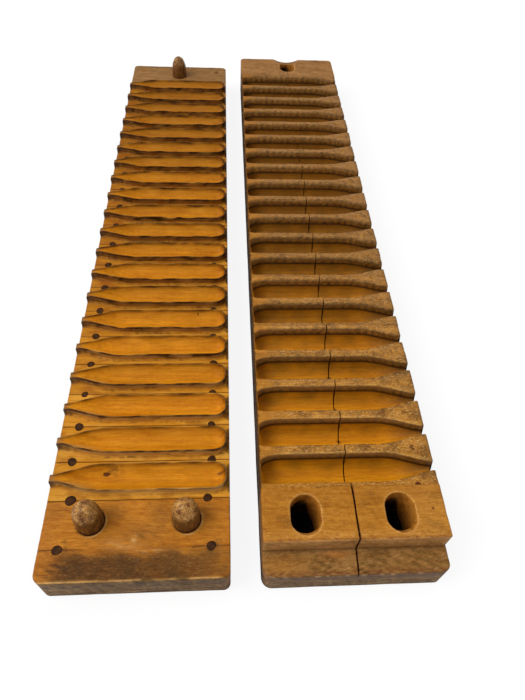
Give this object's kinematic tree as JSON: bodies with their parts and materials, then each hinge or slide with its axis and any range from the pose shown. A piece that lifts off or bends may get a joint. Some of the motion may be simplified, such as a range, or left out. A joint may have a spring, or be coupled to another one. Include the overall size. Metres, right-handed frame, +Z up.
{
  "type": "cigar mould press",
  "caption": "Two-part wooden cigar mould lying open: a board of raised half-cigar cups and a board of deep pockets, lined up by domed guide pins that enter slots.",
  "frame": {"origin": "on the surface that both halves lie on, midway between the halves' inner edges and midway along their length", "axes": "+Z up out of the open faces; +Y along the boards, from the end with two guide pins to the end with one; +X from the upper half to the lower half"},
  "size_m": [0.221, 0.559, 0.0455],
  "materials": {
    "slat_wood": "worn, waxed by use, honey brown",
    "board_wood": "bare, dull, grey brown",
    "block_wood": "worn, stained brown",
    "peg_wood": "dark, dull end grain",
    "pin_wood": "worn, mottled brown"
  },
  "bodies": {
    "lower_half": {"lower_base_board": "board_wood", "lower_near_block": "block_wood", "lower_far_block": "block_wood", "lower_pegs": "peg_wood", "lower_slat_01": "slat_wood", "lower_slat_02": "slat_wood", "lower_slat_03": "slat_wood", "lower_slat_04": "slat_wood", "lower_slat_05": "slat_wood", "lower_slat_06": "slat_wood", "lower_slat_07": "slat_wood", "lower_slat_08": "slat_wood", "lower_slat_09": "slat_wood", "lower_slat_10": "slat_wood", "lower_slat_11": "slat_wood", "lower_slat_12": "slat_wood", "lower_slat_13": "slat_wood", "lower_slat_14": "slat_wood", "lower_slat_15": "slat_wood", "lower_slat_16": "slat_wood", "lower_slat_17": "slat_wood", "lower_slat_18": "slat_wood", "lower_slat_19": "slat_wood", "lower_slat_20": "slat_wood"},
    "upper_half": {"upper_base_board": "board_wood", "upper_near_end_slat": "block_wood", "upper_pin_block": "block_wood", "upper_far_block": "block_wood", "upper_far_end_slat": "block_wood", "upper_pegs": "peg_wood", "guide_pin_near_left": "pin_wood", "guide_pin_near_right": "pin_wood", "guide_pin_far": "pin_wood", "upper_slat_01": "slat_wood", "upper_slat_02": "slat_wood", "upper_slat_03": "slat_wood", "upper_slat_04": "slat_wood", "upper_slat_05": "slat_wood", "upper_slat_06": "slat_wood", "upper_slat_07": "slat_wood", "upper_slat_08": "slat_wood", "upper_slat_09": "slat_wood", "upper_slat_10": "slat_wood", "upper_slat_11": "slat_wood", "upper_slat_12": "slat_wood", "upper_slat_13": "slat_wood", "upper_slat_14": "slat_wood", "upper_slat_15": "slat_wood", "upper_slat_16": "slat_wood", "upper_slat_17": "slat_wood", "upper_slat_18": "slat_wood", "upper_slat_19": "slat_wood", "upper_slat_20": "slat_wood"}
  },
  "joints": [
    {"name": "turn_over", "type": "hinge", "parent": "lower_half", "child": "upper_half", "pos_m": [0, 0, 0.0307], "axis": [0, 1, 0], "range_deg": [0, 180]}
  ]
}
